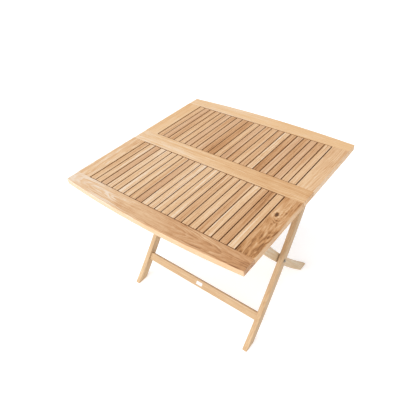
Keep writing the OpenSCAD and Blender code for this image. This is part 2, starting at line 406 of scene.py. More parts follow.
def swept_board(
    name: str,
    centre: np.ndarray,
    first: np.ndarray,
    second: np.ndarray,
    half_a: np.ndarray,
    half_b: np.ndarray,
    inset: np.ndarray,
    easing: Easing,
) -> bpy.types.Object:
    """Carry a rounded rectangle along a path.

    A point is centre + a * first + b * second, where a and b run round the rounded rectangle of
    the station. first x second points along the path.

    Args:
        name: Name of the piece.
        centre: Middle of the section at each station, shape (stations, 3).
        first: Unit direction of a.
        second: Unit direction of b.
        half_a: Half size along a at each station.
        half_b: Half size along b at each station.
        inset: How far the section is drawn in at each station.
        easing: Radii and painted gap shade of the board.

    Returns:
        The board's object.
    """
    section = easing.section(half_a, half_b, inset)
    grid = centre[:, None, :] + section[:, :, :1] * first + section[:, :, 1:] * second
    on_corner = np.tile(np.arange(easing.steps + 1) < easing.steps, 4)
    skin = capped(grid, on_corner)
    skin.shade_arris_end = easing.shade_arris_end(inset)
    return skin.to_object(name)


def plate(name: str, outline: np.ndarray, x0: float, x1: float) -> bpy.types.Object:
    """Carry an outline of the side view along X. Points on the ground count as end grain.

    Args:
        name: Name of the piece.
        outline: Points (y, z) anticlockwise with Y to the right and Z up.
        x0: Lower X of the plate.
        x1: Upper X of the plate.

    Returns:
        The plate's object.
    """
    flat = np.broadcast_to(outline, (2, *outline.shape))
    depth = np.broadcast_to(np.array([x0, x1])[:, None, None], (2, len(outline), 1))
    skin = capped(np.concatenate([depth, flat], axis=-1))
    skin.smooth = np.zeros(len(skin.faces), bool)
    skin.shade_arris_end = np.zeros_like(skin.points)
    skin.shade_arris_end[:, 2] = skin.points[:, 2] < MM
    return skin.to_object(name)


def bake(piece: bpy.types.Object) -> None:
    """Put the result of a piece's modifiers into its mesh and take the modifiers off.

    Args:
        piece: The object.
    """
    view = bpy.context.evaluated_depsgraph_get()
    mesh = bpy.data.meshes.new_from_object(piece.evaluated_get(view))
    piece.modifiers.clear()
    piece.data = mesh


def ease(piece: bpy.types.Object, radius: float) -> None:
    """Round every sharp arris of a piece, and keep the result.

    Args:
        piece: The object.
        radius: Radius of the rounding.
    """
    bevel = piece.modifiers.new("eased", "BEVEL")
    bevel.width = radius
    bevel.segments = 3
    bevel.limit_method = "ANGLE"
    bevel.angle_limit = SHARP_ANGLE
    bake(piece)
    piece.data.polygons.foreach_set("use_smooth", np.ones(len(piece.data.polygons), bool))
    piece.data.set_sharp_from_angle(angle=EASED_ANGLE)


def bore(piece: bpy.types.Object, drill: bpy.types.Object) -> None:
    """Cut the shape of a drill out of a piece, and remove the drill.

    Args:
        piece: The object that gets the hole.
        drill: A closed object as big as the hole.
    """
    cut = piece.modifiers.new("bored", "BOOLEAN")
    cut.operation = "DIFFERENCE"
    cut.solver = "EXACT"
    cut.object = drill
    bake(piece)
    bpy.data.objects.remove(drill)


@dataclass(frozen=True)
class Spindle:
    """A line along X or Z that profiles are turned about.

    Attributes:
        point: A point of the line.
        upright: Whether the line runs along Z and not along X.
    """

    point: tuple[float, float, float]
    upright: bool = False

    def turn(
        self,
        name: str,
        profile: np.ndarray,
        spokes: int = 48,
        flats: np.ndarray | None = None,
        ring: bool = False,
    ) -> bpy.types.Object:
        """Turn a profile into a closed piece.

        A point of the skin is at its place along the line and at its radius in the direction of
        its spoke. A row with flats is cut to a hexagon: the radius is at most its inner radius
        over the cosine of the angle from the middle of a side.

        Args:
            name: Name of the piece.
            profile: Rows of (place along the line, radius), in the line's direction.
            spokes: Points round the line.
            flats: Inner radius of each row's hexagon; infinite for a round row.
            ring: Whether the profile is a closed loop round a bore.

        Returns:
            The turned object.
        """
        angle = np.linspace(0, 2 * np.pi, spokes, endpoint=False)
        radius = np.broadcast_to(profile[:, 1:], (len(profile), spokes))
        if flats is not None:
            off_middle = (angle + np.pi / 6) % (np.pi / 3) - np.pi / 6
            radius = np.minimum(radius, flats[:, None] / np.cos(off_middle)[None, :])
        along = np.broadcast_to(profile[:, :1], radius.shape)
        grid = np.stack([along, radius * np.cos(angle), radius * np.sin(angle)], axis=-1)
        if self.upright:
            grid = np.roll(grid, -1, axis=-1)
        grid = grid + np.array(self.point)
        skin = capped(grid)
        if ring:
            faces = quads_between(*grid.shape[:2], loop=True)
            skin = Skin(grid.reshape(-1, 3), faces.tolist())
        skin.smooth = np.ones(len(skin.faces), bool)
        piece = skin.to_object(name)
        piece.data.set_sharp_from_angle(angle=SHARP_ANGLE)
        return piece


def join(name: str, pieces: list[bpy.types.Object]) -> bpy.types.Object:
    """Put the meshes of several pieces into one new piece and remove the old ones.

    Args:
        name: Name of the new piece.
        pieces: The pieces that go into it.

    Returns:
        The new piece.
    """
    points = [places(piece.data) for piece in pieces]
    starts = np.cumsum([0] + [len(rows) for rows in points])
    faces, smooth = [], []
    for piece, start in zip(pieces, starts):
        faces += [[v + int(start) for v in face.vertices] for face in piece.data.polygons]
        smooth += [face.use_smooth for face in piece.data.polygons]
        bpy.data.objects.remove(piece)
    joined = Skin(np.concatenate(points), faces, np.array(smooth)).to_object(name)
    joined.data.set_sharp_from_angle(angle=SHARP_ANGLE)
    return joined


# ---------------------------------------------------------------- shader building blocks


class Nodes:
    """A thin hand for wiring nodes in one tree."""

    def __init__(self, tree: bpy.types.NodeTree) -> None:
        """Work on that tree."""
        self.tree = tree

    def add(self, kind: str, **settings: object) -> bpy.types.Node:
        """Put a node into the tree.

        Args:
            kind: The node's type.
            **settings: Attributes of the node and their values.

        Returns:
            The node.
        """
        node = self.tree.nodes.new(kind)
        for name, value in settings.items():
            setattr(node, name, value)
        return node

    def plug(self, socket: bpy.types.NodeSocket, value: object) -> None:
        """Link another node's output to an input, or set the input's own value.

        Args:
            socket: The input.
            value: An output to link, a value to set, or None to leave the input alone.
        """
        if isinstance(value, bpy.types.NodeSocket):
            self.tree.links.new(value, socket)
        elif value is not None:
            socket.default_value = value

    def math(self, operation: str, *values: object, clamp: bool = False) -> bpy.types.NodeSocket:
        """Work out a number with a Math node.

        Args:
            operation: The node's operation.
            *values: Up to three numbers or sockets.
            clamp: Whether the result is kept between 0 and 1.

        Returns:
            The result.
        """
        node = self.add("ShaderNodeMath", operation=operation, use_clamp=clamp)
        for socket, value in zip(node.inputs, values):
            self.plug(socket, value)
        return node.outputs[0]

    def vector(self, operation: str, *values: object) -> bpy.types.NodeSocket:
        """Work out a vector, or a vector's length, with a Vector Math node.

        Args:
            operation: The node's operation.
            *values: Up to three vectors or sockets.

        Returns:
            The result.
        """
        node = self.add("ShaderNodeVectorMath", operation=operation)
        for socket, value in zip(node.inputs, values):
            self.plug(socket, value)
        return node.outputs["Value" if operation == "LENGTH" else "Vector"]

    def parts(self, vector: bpy.types.NodeSocket) -> tuple[bpy.types.NodeSocket, ...]:
        """Split a vector.

        Args:
            vector: The vector.

        Returns:
            Its three numbers.
        """
        node = self.add("ShaderNodeSeparateXYZ")
        self.plug(node.inputs[0], vector)
        return tuple(node.outputs)

    def join(self, x: object, y: object = 0.0) -> bpy.types.NodeSocket:
        """Make a vector whose third number is 0.

        Args:
            x: Its first number.
            y: Its second number.

        Returns:
            The vector.
        """
        node = self.add("ShaderNodeCombineXYZ")
        for socket, value in zip(node.inputs, (x, y)):
            self.plug(socket, value)
        return node.outputs[0]

    def noise(
        self, vector: object, seed: object, scale: float, detail: float, rough: float = 0.5
    ) -> bpy.types.NodeSocket:
        """Draw soft noise.

        Args:
            vector: Where it is read.
            seed: Number that picks one of many patterns.
            scale: Patches in each unit of the vector.
            detail: Number of finer layers.
            rough: Strength of each finer layer against the one before.

        Returns:
            The noise, from 0 to 1.
        """
        node = self.add("ShaderNodeTexNoise", noise_dimensions="4D")
        self.plug(node.inputs["Vector"], vector)
        self.plug(node.inputs["W"], seed)
        node.inputs["Scale"].default_value = scale
        node.inputs["Detail"].default_value = detail
        node.inputs["Roughness"].default_value = rough
        return node.outputs["Fac"]

    def remap(
        self, value: object, low: float, high: float, to_low: float = 0.0, to_high: float = 1.0
    ) -> bpy.types.NodeSocket:
        """Carry a value from one range to another by a smooth step.

        Args:
            value: The value.
            low: Where the step starts.
            high: Where it ends.
            to_low: Result at and below the start.
            to_high: Result at and beyond the end.

        Returns:
            The result.
        """
        node = self.add("ShaderNodeMapRange", interpolation_type="SMOOTHSTEP")
        for socket, item in zip(node.inputs, (value, low, high, to_low, to_high)):
            self.plug(socket, item)
        return node.outputs[0]

    def ramp(self, value: object, stops: Sequence[tuple[float, tuple]]) -> bpy.types.NodeSocket:
        """Look a colour up on a ramp.

        Args:
            value: Place on the ramp, from 0 to 1.
            stops: Place and colour of each stop.

        Returns:
            The colour.
        """
        node = self.add("ShaderNodeValToRGB")
        self.plug(node.inputs[0], value)
        elements = node.color_ramp.elements
        while len(elements) < len(stops):
            elements.new(0.5)
        for element, (place, colour) in zip(elements, stops):
            element.position = place
            element.color = colour
        return node.outputs["Color"]

    def mix(self, share: object, base: object, top: object) -> bpy.types.NodeSocket:
        """Blend two colours.

        Args:
            share: Share of the second colour.
            base: The first colour.
            top: The second colour.

        Returns:
            The blend.
        """
        node = self.add("ShaderNodeMix", data_type="RGBA")
        self.plug(node.inputs["Factor"], share)
        self.plug(node.inputs[6], base)
        self.plug(node.inputs[7], top)
        return node.outputs[2]

    def attribute(self, name: str) -> bpy.types.NodeSocket:
        """The vector that the mesh carries under that name."""
        return self.add("ShaderNodeAttribute", attribute_name=name).outputs["Vector"]


class Kind(Enum):
    """What a socket of a shader group carries."""

    VALUE = "NodeSocketFloat"
    VECTOR = "NodeSocketVector"
    COLOUR = "NodeSocketColor"


def new_group(name: str, inputs: dict[str, Kind], outputs: dict[str, Kind]) -> bpy.types.NodeTree:
    """Start a shader group.

    Args:
        name: Name of the group.
        inputs: Name and kind of each input.
        outputs: Name and kind of each output.

    Returns:
        The group, with no nodes in it.
    """
    tree = bpy.data.node_groups.new(name, "ShaderNodeTree")
    for side, sockets in (("INPUT", inputs), ("OUTPUT", outputs)):
        for socket, kind in sockets.items():
            tree.interface.new_socket(socket, in_out=side, socket_type=kind.value)
    return tree


class TeakGrain:
    """The shader group that draws teak: rings, streaks, fibres, pores, sapwood and knots, with
    painted shade in gaps, painted light on outer faces and painted highlights on arrises.

    Attributes:
        SAWN: Inputs that come from the attributes of the same name in lower case.
        DIALS: Inputs that each finish sets.
        BEND, SHOWN, STREAK, FIBRE, PORE, CLOUD: Patches of each pattern in a metre along, across
            and through a board.
        TEAK: The wood's colour from bleached sapwood, 0, to the heart, 1.
        KNOT_DARK, KNOT_HALO, END_DARK, ARRIS_HIGHLIGHT: What a knot, the wood round it, end grain and
        an arris add to the darkness; an arris's share is negative, a painted highlight.
        PALEST: Darkness that a face with full painted light is brought to.
    """

    NAME = "teak_grain"
    SAWN = ("Grain", "Board", "Pith", "Sap", "Knot", "Shade_arris_end")
    DIALS = ("Ring Spacing", "Figure", "Streaks", "Fibre")
    BEND = (4.0, 16.0, 16.0)
    SHOWN = (5.0, 22.0, 22.0)
    STREAK = (2.2, 165.0, 165.0)
    FIBRE = (9.0, 620.0, 620.0)
    PORE = (60.0, 1500.0, 1500.0)
    CLOUD = (9.0, 30.0, 30.0)
    TEAK = (
        (0.0, linear(233, 216, 196)),
        (0.25, linear(223, 187, 146)),
        (0.5, linear(206, 163, 120)),
        (0.75, linear(186, 134, 86)),
        (1.0, linear(126, 80, 42)),
    )
    ROSE_WOOD = linear(196, 158, 132)
    GOLD_WOOD = linear(224, 176, 112)
    KNOT_WOOD = linear(66, 46, 32)
    # Dark brown that faces in a gap are mixed towards: painted shade.
    GAP_SHADE_BROWN = linear(136, 76, 12)
    KNOT_DARK = 0.95
    KNOT_HALO = -0.16
    END_DARK = 0.04
    # Painted highlight: rounded arrises are drawn lighter.
    ARRIS_HIGHLIGHT = -0.10
    PALEST = 0.16

    def __init__(self) -> None:
        """Build the group once."""
        inputs = {name: Kind.VECTOR for name in self.SAWN}
        inputs |= {name: Kind.VALUE for name in self.DIALS}
        inputs["Stain"] = Kind.COLOUR
        outputs = {"Color": Kind.COLOUR, "Roughness": Kind.VALUE, "Height": Kind.VALUE}
        self.tree = new_group(self.NAME, inputs, outputs)
        self.nodes = Nodes(self.tree)
        self.given = self.nodes.add("NodeGroupInput").outputs
        self._wire()

    def _wire(self) -> None:
        """Lay the nodes of the group.

        A point's darkness is its board's, plus each pattern less its mean times its strength. The
        knot, sapwood, end grain, painted light on outer faces and a painted highlight on arrises
        then shift it, and it is looked up on TEAK. Faces in a gap are then mixed towards brown as
        painted shade.
        """
        n, given = self.nodes, self.given
        grain = given["Grain"]
        along, across, _ = n.parts(grain)
        seed, darkness, blush = n.parts(given["Board"])
        sap_edge, sap, mottle = n.parts(given["Sap"])
        gap_shade, arris, end_grain = n.parts(given["Shade_arris_end"])
        other_seed = n.math("ADD", seed, 40.0)

        bend = n.noise(n.vector("MULTIPLY", grain, self.BEND), seed, 1.0, 4.0, 0.55)
        knot_core, knot_ring = self._knot(along, across)
        late, year_tone = self._rings(seed, bend, knot_ring)
        shown = n.noise(n.vector("MULTIPLY", grain, self.SHOWN), other_seed, 1.0, 2.0)
        figure = n.math("MULTIPLY", given["Figure"], n.remap(shown, 0.35, 0.65, 0.25, 1.0))
        streak = n.noise(n.vector("MULTIPLY", grain, self.STREAK), seed, 1.0, 3.0, 0.6)
        fibre = n.noise(n.vector("MULTIPLY", grain, self.FIBRE), seed, 1.0, 2.0, 0.6)
        pore = n.noise(n.vector("MULTIPLY", grain, self.PORE), seed, 1.0, 1.0)
        pore = n.remap(pore, 0.60, 0.72)
        cloud = n.noise(n.vector("MULTIPLY", grain, self.CLOUD), other_seed, 1.0, 5.0, 0.68)

        value = darkness
        for pattern, strength in (
            (late, n.math("MULTIPLY", figure, 0.5)),
            (year_tone, figure),
            (streak, given["Streaks"]),
            (fibre, given["Fibre"]),
            (cloud, mottle),
        ):
            centred = n.math("SUBTRACT", pattern, 0.5)
            value = n.math("MULTIPLY_ADD", centred, strength, value)
        value = n.math("MULTIPLY_ADD", n.math("MULTIPLY", pore, given["Fibre"]), 0.6, value)
        halo = n.math("MULTIPLY", n.remap(knot_ring, 0.4, 0.8), self.KNOT_HALO)
        value = n.math("ADD", n.math("MULTIPLY_ADD", knot_core, self.KNOT_DARK, halo), value)

        wavy = n.math("MULTIPLY_ADD", n.math("SUBTRACT", bend, 0.5), 0.03, across)
        side = n.math("SUBTRACT", wavy, sap_edge)
        pale = n.remap(n.math("MULTIPLY", side, n.math("SIGN", sap)), -0.006, 0.008)
        value = n.math("SUBTRACT", value, n.math("MULTIPLY", pale, n.math("ABSOLUTE", sap)))
        value = n.math("MULTIPLY_ADD", end_grain, self.END_DARK, value)
        # Painted light: outer faces with a negative share are drawn paler.
        paled = n.math("MULTIPLY", gap_shade, -1.0, clamp=True)
        to_paled = n.math("SUBTRACT", self.PALEST, value)
        value = n.math("MULTIPLY_ADD", paled, to_paled, value)
        # Painted highlight: rounded arrises are drawn lighter.
        value = n.math("MULTIPLY_ADD", arris, self.ARRIS_HIGHLIGHT, value)

        wood = n.ramp(value, self.TEAK)
        # The last tint is painted shade: faces that look into a gap are mixed towards dark brown.
        for mask, share, tint in (
            (blush, 0.4, self.ROSE_WOOD),
            (blush, -1.0, self.GOLD_WOOD),
            (knot_core, 0.7, self.KNOT_WOOD),
            (gap_shade, 0.82, self.GAP_SHADE_BROWN),
        ):
            wood = n.mix(n.math("MULTIPLY", mask, share, clamp=True), wood, tint)
        shown_out = n.add("NodeGroupOutput").inputs
        # The multiplier darkens the legs' teak: painted shade.
        n.plug(shown_out["Color"], n.vector("MULTIPLY", wood, given["Stain"]))
        rough = n.remap(value, 0.1, 0.9, 0.52, 0.66)
        n.plug(shown_out["Roughness"], n.math("MULTIPLY_ADD", arris, -0.08, rough))
        relief = n.math("MULTIPLY_ADD", late, -0.3, n.math("MULTIPLY", fibre, 0.4))
        n.plug(shown_out["Height"], n.math("MULTIPLY_ADD", pore, -0.6, relief))

    def _rings(
        self, seed: bpy.types.NodeSocket, bend: bpy.types.NodeSocket, knot_ring: bpy.types.NodeSocket
    ) -> tuple[bpy.types.NodeSocket, bpy.types.NodeSocket]:
        """Draw the log's rings.

        Distance from the heart is the length of the two offsets from it, bent by slow noise and
        drawn in round a knot. Its fraction of the ring spacing is the place in a year's growth.

        Args:
            seed: The board's number.
            bend: The slow noise.
            knot_ring: The field round a knot.

        Returns:
            How late in its year a point grew, and how dark that year was, each from 0 to 1.
        """
        n = self.nodes
        along, across, depth = n.parts(self.given["Grain"])
        pith_across, pith_depth, lean = n.parts(self.given["Pith"])
        drift = n.math("MULTIPLY", along, lean)
        sideways = n.math("SUBTRACT", across, pith_across)
        down = n.math("ADD", n.math("SUBTRACT", depth, pith_depth), drift)
        heart = n.vector("LENGTH", n.join(sideways, down))
        heart = n.math("MULTIPLY_ADD", bend, 0.045, heart)
        heart = n.math("MULTIPLY_ADD", knot_ring, -0.02, heart)
        year = n.math("DIVIDE", heart, self.given["Ring Spacing"])
        place = n.math("FRACT", year)
        late = n.math("MULTIPLY", n.remap(place, 0.1, 0.8), n.remap(place, 0.86, 1.0, 1.0, 0.0))
        return late, n.noise(n.join(n.math("FLOOR", year)), seed, 1.7, 1.0)

    def _knot(
        self, along: bpy.types.NodeSocket, across: bpy.types.NodeSocket
    ) -> tuple[bpy.types.NodeSocket, bpy.types.NodeSocket]:
        """Draw a knot, ragged and a little longer along the board than across it.

        Args:
            along: Place along the board.
            across: Place across it.

        Returns:
            Masks of the dark core, and of the wider field in which the rings bend.
        """
        n = self.nodes
        knot_along, knot_across, radius = n.parts(self.given["Knot"])
        off_along = n.math("MULTIPLY", n.math("SUBTRACT", along, knot_along), 0.7)
        off_across = n.math("SUBTRACT", across, knot_across)
        away = n.math("DIVIDE", n.vector("LENGTH", n.join(off_along, off_across)), radius)
        ragged = n.noise(n.join(along, across), 9.0, 90.0, 2.0)
        away = n.math("MULTIPLY_ADD", n.math("SUBTRACT", ragged, 0.5), 1.6, away)
        return n.remap(away, 0.2, 1.3, 1.0, 0.0), n.remap(away, 0.3, 4.5, 1.0, 0.0)


def new_material(name: str) -> tuple[bpy.types.Material, Nodes, bpy.types.NodeInputs]:
    """Start a material.

    Args:
        name: Name of the material.

    Returns:
        The material, a hand for its nodes, and the inputs of its Principled shader.
    """
    material = bpy.data.materials.new(name)
    material.use_nodes = True
    return material, Nodes(material.node_tree), material.node_tree.nodes["Principled BSDF"].inputs


def emboss(
    n: Nodes, shader: bpy.types.NodeInputs, height: object, depth: float, strength: float
) -> None:
    """Lift a shader's surface by a pattern.

    Args:
        n: The material's nodes.
        shader: Inputs of its shader.
        height: The pattern.
        depth: Height of the pattern, in metres.
        strength: How much of it shows.
    """
    bump = n.add("ShaderNodeBump")
    bump.inputs["Strength"].default_value = strength
    bump.inputs["Distance"].default_value = depth
    n.plug(bump.inputs["Height"], height)
    n.plug(shader["Normal"], bump.outputs["Normal"])


@dataclass(frozen=True)
class TeakFinish:
    """Lightly oiled teak.

    Attributes:
        name: Name of the material.
        slot: The record's material slot; not used.
        dials: Width of a year's growth in metres, and strength of the rings, of the long streaks,
            and of the fine fibres and pores.
        shade_tint: What the wood's colour is multiplied by; a share below 1 is painted shade.
        relief: Height of the grain, in metres.
    """

    name: str
    slot: str
    dials: tuple[float, float, float, float]
    shade_tint: tuple[float, float, float] = (1.0, 1.0, 1.0)
    relief: float = 0.12 * MM

    def build(self, grain: TeakGrain) -> bpy.types.Material:
        """Make the material.

        Args:
            grain: The shared shader group.

        Returns:
            The new material.
        """
        material, n, shader = new_material(self.name)
        wood = n.add("ShaderNodeGroup", node_tree=grain.tree)
        for name in grain.SAWN:
            n.plug(wood.inputs[name], n.attribute(name.lower()))
        for name, value in zip(grain.DIALS, self.dials):
            wood.inputs[name].default_value = value
        wood.inputs["Stain"].default_value = (*self.shade_tint, 1.0)
        n.plug(shader["Base Color"], wood.outputs["Color"])
        n.plug(shader["Roughness"], wood.outputs["Roughness"])
        emboss(n, shader, wood.outputs["Height"], self.relief, 0.6)
        shader["Specular IOR Level"].default_value = 0.35
        return material


@dataclass(frozen=True)
class SteelFinish:
    """Stainless steel with turned or brushed marks and a few dull spots."""

    name: str = "stainless_steel"
    slot: str = "steel"
    relief: float = 0.02 * MM

    def build(self) -> bpy.types.Material:
        """Make the material, its pattern on Object coordinates.

        Returns:
            The new material.
        """
        material, n, shader = new_material(self.name)
        place = n.add("ShaderNodeTexCoord").outputs["Object"]
        brushed = n.noise(n.vector("MULTIPLY", place, (2600.0, 300.0, 300.0)), 1.0, 1.0, 2.0)
        dull = n.noise(place, 5.0, 160.0, 3.0)
        colour = n.ramp(dull, ((0.3, linear(128, 124, 116)), (0.75, linear(172, 168, 160))))
        n.plug(shader["Base Color"], colour)
        rough = n.math("MULTIPLY_ADD", brushed, 0.22, n.remap(dull, 0.4, 0.8, 0.28, 0.18))
        n.plug(shader["Roughness"], rough)
        shader["Metallic"].default_value = 1.0
        emboss(n, shader, brushed, self.relief, 0.25)
        return material


@dataclass(frozen=True)
class LabelFinish:
    """Matt white label stock with a faint fleck."""

    name: str = "label_stock"
    slot: str = "label"
    relief: float = 0.02 * MM

    def build(self) -> bpy.types.Material:
        """Make the material, its pattern on Object coordinates.

        Returns:
            The new material.
        """
        material, n, shader = new_material(self.name)
        place = n.add("ShaderNodeTexCoord").outputs["Object"]
        fleck = n.noise(place, 3.0, 900.0, 3.0)
        colour = n.ramp(fleck, ((0.3, linear(214, 216, 220)), (0.7, linear(232, 233, 236))))
        n.plug(shader["Base Color"], colour)
        n.plug(shader["Roughness"], n.remap(fleck, 0.2, 0.8, 0.45, 0.6))
        emboss(n, shader, fleck, self.relief, 1.0)
        return material


Finish = TeakFinish | SteelFinish | LabelFinish


class Workshop:
    """The materials, and the one place where a finished piece is dressed and put on its body."""

    def __init__(self, nodes: dict[str, bpy.types.Object]) -> None:
        """Mix every finish once.

        Args:
            nodes: The CAD objects by name.
        """
        grain = TeakGrain()
        self.nodes = nodes
        self.frame_teak = TeakFinish("teak_frame", "teak", (6 * MM, 0.55, 0.80, 0.36))
        self.slat_teak = TeakFinish("teak_slats", "teak_slats", (5 * MM, 0.24, 1.25, 0.85))
        # The legs' teak is a darker copy of the teak: painted shade for the legs under the top.
        self.shaded_leg_teak = TeakFinish(
            "teak_legs", "teak_legs", (5 * MM, 0.22, 0.80, 0.30), (0.82, 0.87, 0.88)
        )
        self.steel = SteelFinish()
        self.label = LabelFinish()
        self.made = {
            finish.name: finish.build(grain)
            for finish in (self.frame_teak, self.slat_teak, self.shaded_leg_teak)
        }
        self.made[self.steel.name] = self.steel.build()
        self.made[self.label.name] = self.label.build()
        self.seed = 0

    def finish(
        self, piece: bpy.types.Object, finish: Finish, body: str, *nodes: str
    ) -> bpy.types.Object:
        """Give a piece its material and body, and hide the CAD nodes that it stands for.

        Args:
            piece: The object.
            finish: What it is made of.
            body: The CAD body that it moves with.
            *nodes: CAD nodes that it replaces.

        Returns:
            The same object.
        """
        piece.data.materials.clear()
        piece.data.materials.append(self.made[finish.name])
        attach(piece, body)
        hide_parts(*nodes)
        LOG.info("%s: %d vertices on %s", piece.name, len(piece.data.vertices), body)
        return piece

    def board(
        self,
        piece: bpy.types.Object,
        axes: Axes,
        cut: Cut,
        finish: TeakFinish,
        body: str,
        *nodes: str,
    ) -> bpy.types.Object:
        """Saw a wooden piece from its place in the log, then finish it.

        Args:
            piece: The object.
            axes: Directions of its grain.
            cut: Where in the log it comes from.
            finish: The teak that it is dressed in.
            body: The CAD body that it moves with.
            *nodes: CAD nodes that it replaces.

        Returns:
            The same object.
        """
        self.seed += 1
        saw(piece.data, axes, cut, self.seed)
        return self.finish(piece, finish, body, *nodes)

    def dress(self, node: str, finish: Finish) -> None:
        """Put a material in every slot of a CAD node that stays.

        Args:
            node: The CAD node.
            finish: What it is made of.
        """
        kept = self.nodes[node]
        for slot in kept.material_slots:
            slot.material = self.made[finish.name]
        LOG.info("%s: kept from the frame", node)


def box_of(node: str) -> tuple[np.ndarray, np.ndarray]:
    """Lowest and highest corner of a CAD node, as arrays."""
    low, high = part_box(node)
    return np.array(low, float), np.array(high, float)


def middle_of(node: str) -> np.ndarray:
    """Middle of a CAD node's box."""
    return sum(box_of(node)) / 2


def straight_board(
    name: str, low: np.ndarray, high: np.ndarray, along_y: bool, easing: Easing, inner: int = 9
) -> bpy.types.Object:
    """A straight board that fills a box and runs along X or Y.

    Args:
        name: Name of the piece.
        low: Lowest corner.
        high: Highest corner.
        along_y: Whether it runs along Y. Its corners then count from (+Z, +X), and otherwise
            from (+Y, +Z).
        easing: Radii and painted gap shade.
        inner: Stations between the eased ends.

    Returns:
        The board's object.
    """
    path, first, second = np.roll(np.eye(3), -1 if along_y else 0, axis=0)
    along, inset = easing.stations((high - low) @ path, inner)
    middle, half = (low + high) / 2, (high - low) / 2
    centre = middle + (along - (high - low) @ path / 2)[:, None] * path
    ones = np.ones(len(along))
    return swept_board(
        name, centre, first, second, ones * (half @ first), ones * (half @ second), inset, easing
    )


# ---------------------------------------------------------------- the framed top


